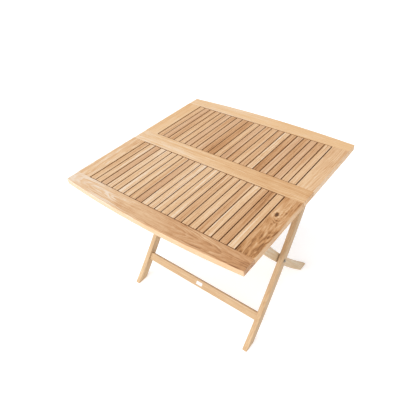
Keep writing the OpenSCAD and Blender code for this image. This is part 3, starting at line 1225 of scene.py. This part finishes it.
@dataclass
class FramedTop:
    """Rails, stiles, slats, battens and cleats that move as one.

    Attributes:
        shop: Where its pieces are finished.
        body: The CAD body.
        arris, joint_arris, slat_arris, batten_arris, cleat_arris: Radii of the eased edges.
        slat_count: Rows of slats.
        slat_seed: Seed of what differs from slat to slat.
        slat_dip: How much lower and narrower than its node a slat may be.
        slat_heart: Lowest and highest place of the log's heart, and of its lean, for a slat.
        slat_fade: The most that a slat's two ends differ in darkness.
        rail_stations, stile_stations: Sections along a board between its ends.
        soiled, bleached, near_paled: Share of painted shade on a face in a gap, and the
        painted light on an outer face and on the near edge, given as negative shares.
        edge_bow: How far the middle of a bowed edge stands out from its corners.
        screw_radius, screw_crown: Radius and rise of a slat screw's head.
        peg_radius, peg_inset: Radius of a peg, and its distance from the middle rail's edge.
        cleat_screw_radius, cleat_screw_depth: Size of the counterbores in a cleat.
        cleat_screws_at: Their places along it, in shares of the outermost one's.
        notch_radius: Radius of a cleat's notch.
        notch_lip: Where the notch's far side leaves the circle, in radii from its middle.
        notch_mouth: How far out the far side is a millimetre below the cleat, in radii.
        batten_nodes: The battens' CAD nodes, from near to far.
    """

    shop: Workshop
    body: str = "top"
    arris: float = 2.6 * MM
    joint_arris: float = 0.6 * MM
    slat_arris: float = 1.3 * MM
    batten_arris: float = 0.8 * MM
    cleat_arris: float = 1.2 * MM
    slat_count: int = 22
    slat_seed: int = 22
    slat_dip: float = 0.35 * MM
    slat_heart: tuple[tuple[float, float, float], tuple[float, float, float]] = (
        (0.05, 0.03, -0.05),
        (0.35, 0.25, 0.05),
    )
    slat_fade: float = 0.12
    rail_stations: int = 41
    stile_stations: int = 21
    # Painted shade in the gaps; the negative shares give outer faces painted light.
    gap_shade_share: float = 1.0
    paled: float = -0.5
    near_paled: float = -0.75
    edge_bow: float = 20 * MM
    screw_radius: float = 3.6 * MM
    screw_crown: float = 0.4 * MM
    peg_radius: float = 4 * MM
    peg_inset: float = 15 * MM
    cleat_screw_radius: float = 4.65 * MM
    cleat_screw_depth: float = 14.1 * MM
    cleat_screws_at: tuple[float, ...] = (-1.0, -0.4, 0.4, 1.0)
    notch_radius: float = 12.3 * MM
    notch_lip: tuple[float, float] = (0.92, 0.39)
    notch_mouth: float = 2.3
    batten_nodes: tuple[str, ...] = (
        "near_outer_batten",
        "near_inner_batten",
        "far_inner_batten",
        "far_outer_batten",
    )

    def build(self) -> None:
        """Make every piece of the top."""
        self.rails()
        self.stiles()
        self.slats()
        self.battens()
        self.slat_screws()
        self.pegs()
        self.cleats()

    def panels(self) -> dict[str, tuple[float, float]]:
        """Lowest and highest Y of the two openings between the rails."""
        near, mid, far = (box_of(f"{place}_rail") for place in ("near", "mid", "far"))
        return {"near": (near[1][1], mid[0][1]), "far": (mid[1][1], far[0][1])}

    def rails(self) -> None:
        """The two bowed rails and the straight one between them.

        A bowed edge lies on the circle through the corners and the middle of the edge: it is in
        from the middle by radius - sqrt(radius^2 - x^2).
        """
        cuts = {
            "near_rail": Cut(Tone.WHEAT, 0.006, 0.012, 0.10, fade=0.60, mottle=1.0),
            "mid_rail": Cut(
                Tone.BISCUIT, 0.22, 0.15, 0.03, 0.26, sap_edge=-0.002, sap=-0.10, mottle=0.70
            ),
            "far_rail": Cut(Tone.BUTTER, 0.12, 0.10, 0.05, fade=0.16, mottle=0.34),
        }
        for name, cut in cuts.items():
            low, high = box_of(name)
            near, far = name == "near_rail", name == "far_rail"
            low_edge = self.arris if near else self.joint_arris
            high_edge = self.arris if far else self.joint_arris
            high_side = self.paled if far else self.gap_shade_share
            low_side = self.near_paled if near else self.gap_shade_share
            easing = Easing(
                (high_edge, low_edge, low_edge, high_edge),
                self.arris,
                gaps=(high_side, 0.0, low_side, 0.0),
            )
            half_len = high[0]
            along, inset = easing.stations(2 * half_len, self.rail_stations)
            x = along - half_len
            bow_radius = (half_len**2 + self.edge_bow**2) / (2 * self.edge_bow)
            bow = bow_radius - np.sqrt(bow_radius**2 - x**2)
            y0, y1 = low[1] + bow * near, high[1] - bow * far
            ones = np.ones(len(x))
            centre = np.stack([x, (y0 + y1) / 2 * ones, (low[2] + high[2]) / 2 * ones], axis=-1)
            piece = swept_board(
                f"{name}_board",
                centre,
                np.array([0, 1, 0]),
                np.array([0, 0, 1]),
                (y1 - y0) / 2 * ones,
                (high[2] - low[2]) / 2 * ones,
                inset,
                easing,
            )
            self.shop.board(piece, ALONG_X, cut, self.shop.frame_teak, self.body, name)

    def stiles(self) -> None:
        """Four side boards that end at the rails' edges; their tenons are out of sight."""
        cuts = {
            "near_left_stile": Cut(Tone.STRAW, 0.10, 0.12, 0.05, fade=0.10, mottle=1.1),
            "near_right_stile": Cut(
                Tone.RUSSET, 0.012, 0.03, 0.10, mottle=1.9, knot=(0.059, -0.013, 0.009)
            ),
            "far_left_stile": Cut(Tone.BUTTER, 0.16, 0.10, 0.03, fade=0.10, mottle=0.60),
            "far_right_stile": Cut(Tone.HONEY, -0.04, 0.06, 0.06, fade=0.14, mottle=0.60),
        }
        for name, cut in cuts.items():
            low, high = box_of(name)
            panel, right = name.split("_")[0], "right" in name
            low[1], high[1] = self.panels()[panel]
            high_edge = self.arris if right else self.joint_arris
            low_edge = self.joint_arris if right else self.arris
            high_side = self.paled if right else self.gap_shade_share
            low_side = self.gap_shade_share if right else self.paled
            easing = Easing(
                (high_edge, low_edge, low_edge, high_edge),
                self.joint_arris,
                gaps=(0.0, high_side, 0.0, low_side),
                gap_ends=self.gap_shade_share / 2,
            )
            piece = straight_board(f"{name}_board", low, high, True, easing, self.stile_stations)
            self.shop.board(piece, ALONG_Y, cut, self.shop.frame_teak, self.body, name)

    def slats(self) -> None:
        """Twenty-two rows of two slats, each sawn and toned on its own.

        A slat sits up to slat_dip lower than the frame, and is narrower by up to the same, as
        machined slats are.
        """
        draw = np.random.default_rng(self.slat_seed)
        panels = self.panels()
        round_top = (self.slat_arris, self.joint_arris, self.joint_arris, self.slat_arris)
        # Slat sides and ends get painted shade where they look into the gaps.
        gaps = (0.0, self.gap_shade_share, 0.0, self.gap_shade_share)
        easing = Easing(round_top, self.slat_arris, gaps, gap_ends=self.gap_shade_share)
        toned = {"near": tones(NEAR_SLATS), "far": tones(FAR_SLATS)}
        for row in range(self.slat_count):
            node = f"slats_{row + 1:02d}"
            box_low, box_high = box_of(node)
            end_gap = box_low[1] - panels["near"][0]
            for side, (y0, y1) in panels.items():
                dip, slim_left, slim_right = draw.uniform(0, self.slat_dip, 3)
                low = np.array([box_low[0] + slim_left / 2, y0 + end_gap, box_low[2]])
                high = np.array([box_high[0] - slim_right / 2, y1 - end_gap, box_high[2] - dip])
                heart = draw.uniform(*self.slat_heart)
                fade = draw.uniform(-self.slat_fade, self.slat_fade)
                cut = Cut(toned[side][row], *heart, fade)
                piece = straight_board(f"{side}_slat_{row + 1:02d}", low, high, True, easing)
                self.shop.board(piece, ALONG_Y, cut, self.shop.slat_teak, self.body, node)

    def battens(self) -> None:
        """Four battens under the slats, along X; their ends stop at the stiles."""
        inner_x = box_of("near_right_stile")[0][0]
        easing = Easing((self.batten_arris,) * 4, TENON_ARRIS)
        for number, name in enumerate(self.batten_nodes):
            low, high = box_of(name)
            low[0], high[0] = -inner_x, inner_x
            piece = straight_board(f"{name}_strip", low, high, False, easing)
            cut = Cut(Tone.TAN, 0.1 + 0.05 * number, 0.1, 0.03)
            self.shop.board(piece, ALONG_X, cut, self.shop.frame_teak, self.body, name)

    def slat_screws(self) -> None:
        """A low crowned head with a cross recess for every screw under the slats.

        Rows of twelve points run from inside the batten over the rim to the recess. Every third
        point of the inner row is sunk, which leaves a cross.
        """
        x, y = np.meshgrid(
            [middle_of(f"slats_{row + 1:02d}")[0] for row in range(self.slat_count)],
            [middle_of(batten)[1] for batten in self.batten_nodes],
        )
        underside = box_of(self.batten_nodes[0])[0][2]
        centres = np.stack([x.ravel(), y.ravel(), np.full(x.size, underside)], axis=-1)
        radii = self.screw_radius * np.array([0.9, 1.0, 0.82, 0.5, 0.14])
        rise = self.screw_crown * np.array([1.5, 0.0, -0.9, -1.0, 1.6])
        angle = np.linspace(0, 2 * np.pi, 12, endpoint=False)
        heights = np.repeat(rise[:, None], len(angle), axis=1)
        heights[3, ::3] = rise[-1]
        rounds = radii[:, None] * np.stack([np.cos(angle), -np.sin(angle)])[:, None]
        head = capped(np.stack([*rounds, heights], axis=-1))
        points = (centres[:, None, :] + head.points).reshape(-1, 3)
        starts = range(0, len(points), len(head.points))
        faces = [[v + start for v in face] for start in starts for face in head.faces]
        piece = Skin(points, faces, np.zeros(len(faces), bool)).to_object("slat_screw_heads")
        self.shop.finish(piece, self.shop.steel, self.body, "slat_screws")

    def pegs(self) -> None:
        """The pegs that pin the frame's joints, their ends standing a hair proud underneath.

        A row of the profile is a depth into the frame in millimetres and a share of the radius.
        """
        low, high = box_of("joint_pegs")
        x = high[0] - self.peg_radius
        outer_y = low[1] + self.peg_radius
        inner_y = box_of("mid_rail")[0][1] + self.peg_inset
        rows = ((-0.3, 0.85), (0.0, 1.0), (11.0, 1.0), (12.0, 0.9))
        profile = np.array(rows) * (MM, self.peg_radius)
        pieces = [
            Spindle((side * x, y, low[2]), upright=True).turn("peg", profile, 24)
            for side in (-1, 1)
            for y in (outer_y, inner_y, -inner_y, -outer_y)
        ]
        piece = join("joint_peg_ends", pieces)
        along_z = Axes((0, 0, 1), (1, 0, 0), (0, 1, 0))
        self.shop.board(piece, along_z, Cut(Tone.AMBER), self.shop.frame_teak, self.body, "joint_pegs")

    def cleats(self) -> None:
        """The two blocks under the top, with their notches for the inner frame's bar.

        The notch is a half circle about the bar's resting place. Its near side drops straight
        down. Its far side slopes away on the line from the lip to the mouth, so that the bar can
        swing out.
        """
        seat = middle_of("inner_bar")[1:]
        r = self.notch_radius
        lip_y, lip_z = self.notch_lip
        turn = np.linspace(np.pi, np.arctan2(lip_z, lip_y), 25)
        arc = seat + r * np.stack([np.cos(turn), np.sin(turn)], axis=-1)
        cut = Cut(Tone.HONEY, 0.2, 0.1)
        axes = Axes((0, 1, 0), (0, 0, 1), (1, 0, 0))
        for name in ("left_cleat", "right_cleat"):
            low, high = box_of(name)
            drop = (seat[1] - low[2]) / r
            slope = (self.notch_mouth - lip_y) / (drop + 1 * MM / r + lip_z)
            foot_y = seat[0] + r * (lip_y + slope * (drop + lip_z))
            around = [[foot_y, low[2]], [high[1], low[2]], high[1:], [low[1], high[2]]]
            outline = np.concatenate([[low[1:], [seat[0] - r, low[2]]], arc, around])
            piece = plate(f"{name}_block", outline, low[0], high[0])
            ease(piece, self.cleat_arris)
            self.drill_cleat(piece, name)
            self.shop.board(piece, axes, cut, self.shop.frame_teak, self.body, name)
        self.shop.dress("cleat_screws", self.shop.steel)

    def drill_cleat(self, piece: bpy.types.Object, name: str) -> None:
        """Sink the screws' counterbores into a cleat's underside.

        Args:
            piece: The cleat.
            name: Its CAD node.
        """
        r = self.cleat_screw_radius
        reach_x, reach_y, _ = box_of("cleat_screws")[1] - r
        x = -reach_x if name.startswith("left") else reach_x
        profile = np.array([[-1 * MM, r], [self.cleat_screw_depth, r]])
        for y in reach_y * np.array(self.cleat_screws_at):
            spindle = Spindle((x, y, box_of(name)[0][2]), upright=True)
            bore(piece, spindle.turn("drill", profile, 32))


# ---------------------------------------------------------------- the leg frames


def circle_through(a: np.ndarray, b: np.ndarray, c: np.ndarray) -> tuple[np.ndarray, float]:
    """Circle through three points of a plane.

    The centre p is where the two perpendicular bisectors meet: (b - a).p = (b.b - a.a) / 2, and
    the same for c.

    Args:
        a: First point.
        b: Second point.
        c: Third point.

    Returns:
        Centre and radius.
    """
    rows = np.array([b - a, c - a])
    sums = np.array([b @ b - a @ a, c @ c - a @ a]) / 2
    centre = np.linalg.solve(rows, sums)
    return centre, float(np.linalg.norm(a - centre))


@dataclass
class LegFrame:
    """Two bowed legs and their stretcher.

    Attributes:
        shop: Where its pieces are finished.
        prefix: First word of the CAD nodes' names.
        body: The CAD body.
        side: 1 with the feet on the near side, -1 with them on the far side.
        foot, crossing, hinge: Points (y, z) of a leg's middle line, feet on the near side.
        leg_w: Width of a leg.
        arris, stretcher_arris: Radii of the eased edges.
        stretcher_h: Height of the stretcher's middle.
        stretcher_w, stretcher_t: Width and thickness of the stretcher.
        recess_radius, recess_depth: Size of the hinge nut's pocket.
        edge_points, end_points: Points along a leg's edge and round its upper end.
        stretcher_stations: Sections along the stretcher between its ends.
    """

    shop: Workshop
    prefix: str
    body: str
    side: int
    foot: tuple[float, float] = (-0.289, 0.0)
    crossing: tuple[float, float] = (0.0, 0.341)
    hinge: tuple[float, float] = (0.240, 0.699)
    leg_w: float = 42 * MM
    arris: float = 2.4 * MM
    stretcher_arris: float = 2.2 * MM
    stretcher_h: float = 111 * MM
    stretcher_w: float = 38 * MM
    stretcher_t: float = 22 * MM
    recess_radius: float = 8.2 * MM
    recess_depth: float = 7 * MM
    edge_points: int = 41
    end_points: int = 17
    stretcher_stations: int = 15

    def arc(self) -> tuple[np.ndarray, float]:
        """Centre and radius of the legs' middle line in the side view, feet on the near side."""
        return circle_through(*(np.array(p) for p in (self.foot, self.crossing, self.hinge)))

    def outline(self) -> np.ndarray:
        """Side view of a leg: two arcs about one centre, flat at the ground, round at the hinge.

        The arcs' radii are the middle one plus and minus half the width. Each starts at the
        ground, at the angle whose sine is -centre height / radius, and ends at the hinge's angle.
        The round end is a half circle about the hinge. On the far side the outline is mirrored
        and runs backwards.

        Returns:
            Points (y, z), anticlockwise.
        """
        centre, radius = self.arc()
        hinge = np.array(self.hinge)
        top_angle = np.arctan2(*(hinge - centre)[::-1])
        half = self.leg_w / 2
        steps = np.linspace(0, 1, self.edge_points)
        edges = []
        for edge_radius in (radius + half, radius - half):
            ground = np.arcsin(-centre[1] / edge_radius)
            angle = ground + (top_angle - ground) * steps
            edges.append(centre + edge_radius * np.stack([np.cos(angle), np.sin(angle)], axis=-1))
        turn = top_angle + np.linspace(0, np.pi, self.end_points)[1:-1]
        round_end = hinge + half * np.stack([np.cos(turn), np.sin(turn)], axis=-1)
        points = np.concatenate([edges[0], round_end, edges[1][::-1]])
        return points if self.side > 0 else points[::-1] * np.array([-1, 1])

    def build(self) -> None:
        """Make both legs and the stretcher."""
        chord = np.array(self.hinge) - np.array(self.foot)
        chord = chord / np.linalg.norm(chord)
        along = (0, self.side * chord[0], chord[1])
        across = (0, -self.side * chord[1], chord[0])
        shades = (Tone.STRAW, Tone.HONEY) if self.side > 0 else (Tone.PALEST, Tone.CREAM)
        cuts = (Cut(shades[0], 0.14, 0.10, 0.03), Cut(shades[1], 0.2, 0.07, -0.02))
        for hand, cut in zip(("left", "right"), cuts):
            node = f"{self.prefix}_{hand}_leg"
            low, high = box_of(node)
            piece = plate(f"{node}_board", self.outline(), low[0], high[0])
            ease(piece, self.arris)
            if self.side > 0:
                self.recess(piece, low[0], high[0])
            axes = Axes(along, across, (1, 0, 0))
            self.shop.board(piece, axes, cut, self.shop.shaded_leg_teak, self.body, node)
        self.stretcher()

    def recess(self, piece: bpy.types.Object, x0: float, x1: float) -> None:
        """Sink the pocket of the hinge nut into the leg's inner face.

        Args:
            piece: The leg.
            x0: Lower X of the leg.
            x1: Upper X of the leg.
        """
        face, into = (x0, 1) if x0 > 0 else (x1, -1)
        ends = sorted((face - into * MM, face + into * self.recess_depth))
        profile = np.array([[end, self.recess_radius] for end in ends])
        drill = Spindle((0, *self.hinge)).turn("drill", profile, 48)
        bore(piece, drill)

    def stretcher(self) -> None:
        """The board between the legs, its face along their slope; its tenons are out of sight.

        Its middle is on the legs' middle line at its height: the line's radius and the height
        above the line's centre give its distance from that centre.
        """
        centre, radius = self.arc()
        rise = self.stretcher_h - centre[1]
        at = np.array([centre[0] + np.sqrt(radius**2 - rise**2), self.stretcher_h])
        slope = np.arctan2(*(at - centre)[::-1]) + np.pi / 2
        inner_x = box_of(f"{self.prefix}_right_leg")[0][0]
        easing = Easing((self.stretcher_arris,) * 4, TENON_ARRIS)
        along, inset = easing.stations(2 * inner_x, self.stretcher_stations)
        ones = np.ones(len(along))
        middle = np.stack([along - inner_x, ones * self.side * at[0], ones * at[1]], axis=-1)
        wide = np.array([0, self.side * np.cos(slope), np.sin(slope)])
        thick = np.array([0, -self.side * np.sin(slope), np.cos(slope)])
        pair = [(wide, self.stretcher_w / 2), (thick, self.stretcher_t / 2)]
        (first, half_a), (second, half_b) = pair if self.side > 0 else pair[::-1]
        node = f"{self.prefix}_stretcher"
        piece = swept_board(
            f"{node}_board", middle, first, second, ones * half_a, ones * half_b, inset, easing
        )
        axes = Axes((1, 0, 0), tuple(wide), tuple(thick))
        cut = Cut(Tone.HONEY, 0.12, 0.16, 0.02)
        self.shop.board(piece, axes, cut, self.shop.shaded_leg_teak, self.body, node)


@dataclass
class BlankLabel:
    """A thin white label without a word on it, on the outer stretcher."""

    shop: Workshop
    node: str = "blank_label"

    def build(self) -> None:
        """Dress the label."""
        self.shop.dress(self.node, self.shop.label)


@dataclass
class TieBar:
    """The round bar of the inner frame, with chamfered ends."""

    shop: Workshop
    node: str = "inner_bar"
    body: str = "inner_frame"
    chamfer: float = 2 * MM

    def build(self) -> None:
        """Make the bar: a cylinder along X with a chamfer at each end."""
        low, high = box_of(self.node)
        x = np.array([low[0], low[0] + self.chamfer, high[0] - self.chamfer, high[0]])
        r = (high[2] - low[2]) / 2 - self.chamfer * np.array([1, 0, 0, 1])
        spindle = Spindle((0, *middle_of(self.node)[1:]))
        piece = spindle.turn("inner_bar_dowel", np.stack([x, r], axis=-1), 40)
        cut = Cut(Tone.HONEY, 0.1, 0.1)
        self.shop.board(piece, ALONG_X, cut, self.shop.shaded_leg_teak, self.body, self.node)


# ---------------------------------------------------------------- pivots


@dataclass
class Pivots:
    """Bolts, nuts and washers of the crossing and of the top's hinge.

    Attributes:
        shop: Where its pieces are finished.
        body: The CAD body.
        shank, tip: Radius of a bolt's shank, and the chamfer of its tip.
        head, head_h: Radius and height of a bolt's head.
        dome, dome_end: Radius of its dome's sphere, and the sine of the angle where the dome ends.
        socket, socket_depth: Inner radius and depth of its six-sided socket.
        nut, nut_h, nut_chamfer: Radius at a nut's corners, its height and its chamfer.
        rim: Width of the small broken edges.
    """

    shop: Workshop
    body: str = "outer_frame"
    shank: float = 4 * MM
    tip: float = 0.8 * MM
    head: float = 6.5 * MM
    head_h: float = 4 * MM
    dome: float = 9 * MM
    dome_end: float = 0.33
    socket: float = 2.5 * MM
    socket_depth: float = 2 * MM
    nut: float = 7.2 * MM
    nut_h: float = 6.5 * MM
    nut_chamfer: float = 0.7 * MM
    rim: float = 0.3 * MM

    def build(self) -> None:
        """Make the bolts, then what is threaded on them."""
        for kind in ("crossing", "hinge"):
            for hand, side in (("left", -1), ("right", 1)):
                self.bolt(f"{hand}_{kind}_bolt", side)
            self.nuts(kind)
            self.shop.dress(f"{kind}_washers", self.shop.steel)

    def turned(
        self, name: str, bolt: str, side: int, rows: np.ndarray, flats: np.ndarray, ring: bool = False
    ) -> bpy.types.Object:
        """Turn a piece about a bolt's axis.

        Args:
            name: Name of the piece.
            bolt: The bolt's CAD node.
            side: 1 on the right, -1 on the left, where the profile is mirrored.
            rows: The profile as it is on the right.
            flats: Inner radius of each row's hexagon.
            ring: Whether the profile is a closed loop round a bore.

        Returns:
            The piece.
        """
        if side < 0:
            rows, flats = rows[::-1] * (-1, 1), flats[::-1]
        return Spindle((0, *middle_of(bolt)[1:])).turn(name, rows, flats=flats, ring=ring)

    def bolt(self, node: str, side: int) -> None:
        """A domed bolt with a six-sided socket.

        The head is a cylinder cut by a sphere: at the angle u from its crown, the dome is at
        crown - dome (1 - cos u) along the bolt and has the radius dome sin u.

        Args:
            node: The CAD node of the bolt.
            side: 1 on the right, -1 on the left.
        """
        low, high = box_of(node)
        end, crown = sorted((abs(low[0]), abs(high[0])))
        base = crown - self.head_h
        u = np.linspace(np.arcsin(self.head / self.dome), np.arcsin(self.dome_end), 9)
        dome = np.stack([crown - self.dome * (1 - np.cos(u)), self.dome * np.sin(u)], axis=-1)
        mouth = dome[-1, 0]
        profile = np.concatenate(
            [
                [[end, self.shank - self.tip], [end + self.tip, self.shank]],
                [[base, self.shank], [base, self.head - self.rim], [base + self.rim, self.head]],
                dome,
                [[mouth - 0.05 * MM, self.head], [mouth - self.socket_depth, self.head]],
            ]
        )
        flats = np.full(len(profile), np.inf)
        flats[-2:] = self.socket
        piece = self.turned(f"{node}_turned", node, side, profile, flats)
        self.shop.finish(piece, self.shop.steel, self.body, node)

    def nuts(self, kind: str) -> None:
        """A chamfered hexagon nut on each side, a closed loop turned round its bore.

        Args:
            kind: The pivot, crossing or hinge.
        """
        node = f"{kind}_nuts"
        outer = box_of(node)[1][0]
        inner = outer - self.nut_h
        flat = self.nut * np.cos(np.pi / 6)
        profile = np.array(
            [
                [inner, flat],
                [inner + self.nut_chamfer, self.nut],
                [outer - self.nut_chamfer, self.nut],
                [outer, flat],
                [outer, self.shank + self.rim],
                [outer - self.rim, self.shank],
                [inner + self.rim, self.shank],
                [inner, self.shank + self.rim],
            ]
        )
        flats = np.repeat([flat, np.inf], 4)
        for hand, side in (("left", -1), ("right", 1)):
            name, bolt = f"{hand}_{kind}_nut", f"right_{kind}_bolt"
            piece = self.turned(name, bolt, side, profile, flats, ring=True)
            self.shop.finish(piece, self.shop.steel, self.body, node)


# ---------------------------------------------------------------- studio


@dataclass(frozen=True)
class Studio:
    """Floor, light and camera.

    Attributes:
        eye: Place of the camera, in metres.
        azimuth: Turn of the camera's look from +Y towards -X, in degrees.
        elevation: How far it looks down, in degrees.
        roll: Turn about its own look, in degrees.
        lens: Focal length, in millimetres.
        sensor: Width of the sensor, in millimetres.
        shift: Sideways and upward shift of the view.
        floor_size: Side of the floor, in metres.
        floor_colour, floor_glow: Colour of the floor, and how much it shines of itself.
        room_light: Strength of the room's own light.
        sun_light, sun_spread, sun_way: Strength, width in degrees and direction of the sun.
    """

    eye: tuple[float, float, float] = (0.9097, -1.0659, 1.6960)
    azimuth: float = 39.17
    elevation: float = 41.97
    roll: float = -4.06
    lens: float = 33.80
    sensor: float = 36.0
    shift: tuple[float, float] = (-0.0412, 0.0172)
    floor_size: float = 30.0
    floor_colour: tuple[float, float, float] = (0.88, 0.90, 0.93)
    floor_glow: float = 0.32
    room_light: float = 0.62
    sun_light: float = 2.5
    sun_spread: float = 75.0
    sun_way: tuple[float, float, float] = (0.25, 0.85, -0.85)

    def camera(self) -> None:
        """Set the camera up: -Z looks along the given angles, then it is rolled."""
        data = bpy.data.cameras.new("camera")
        data.lens = self.lens
        data.sensor_width = self.sensor
        data.shift_x, data.shift_y = self.shift
        cam = bpy.data.objects.new("camera", data)
        a, e = np.radians(self.azimuth), np.radians(self.elevation)
        look = Vector((-np.sin(a) * np.cos(e), np.cos(a) * np.cos(e), -np.sin(e)))
        turn = look.to_track_quat("-Z", "Y").to_matrix()
        turn = turn @ Matrix.Rotation(np.radians(self.roll), 3, "Z")
        cam.matrix_world = Matrix.Translation(Vector(self.eye)) @ turn.to_4x4()
        bpy.context.scene.collection.objects.link(cam)
        bpy.context.scene.camera = cam

    def floor(self) -> None:
        """A pale plain floor."""
        corners = np.array([[-1, -1, 0], [1, -1, 0], [1, 1, 0], [-1, 1, 0]])
        floor = Skin(corners * self.floor_size / 2, [[0, 1, 2, 3]]).to_object("floor")
        material, _, shader = new_material("studio_floor")
        shader["Base Color"].default_value = (*self.floor_colour, 1)
        shader["Roughness"].default_value = 0.9
        shader["Specular IOR Level"].default_value = 0.1
        shader["Emission Color"].default_value = (1, 1, 1, 1)
        shader["Emission Strength"].default_value = self.floor_glow
        floor.data.materials.append(material)

    def light(self) -> None:
        """A white room and one very soft sun from the near left."""
        world = bpy.data.worlds.new("room")
        world.use_nodes = True
        background = world.node_tree.nodes["Background"]
        background.inputs["Color"].default_value = (1, 1, 1, 1)
        background.inputs["Strength"].default_value = self.room_light
        bpy.context.scene.world = world
        data = bpy.data.lights.new("soft_sun", "SUN")
        data.energy = self.sun_light
        data.angle = np.radians(self.sun_spread)
        lamp = bpy.data.objects.new("soft_sun", data)
        lamp.matrix_world = Vector(self.sun_way).to_track_quat("-Z", "Y").to_matrix().to_4x4()
        bpy.context.scene.collection.objects.link(lamp)

    def build(self) -> None:
        """Make the whole studio."""
        self.camera()
        self.floor()
        self.light()
        bpy.context.scene.view_settings.view_transform = "Standard"


def main() -> None:
    """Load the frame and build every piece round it."""
    logging.basicConfig(level=logging.INFO, format="%(message)s")
    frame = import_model()
    Studio().build()
    shop = Workshop(frame["nodes"])
    FramedTop(shop).build()
    LegFrame(shop, "outer", "outer_frame", 1).build()
    LegFrame(shop, "inner", "inner_frame", -1).build()
    TieBar(shop).build()
    Pivots(shop).build()
    BlankLabel(shop).build()


if __name__ == "__main__":
    main()
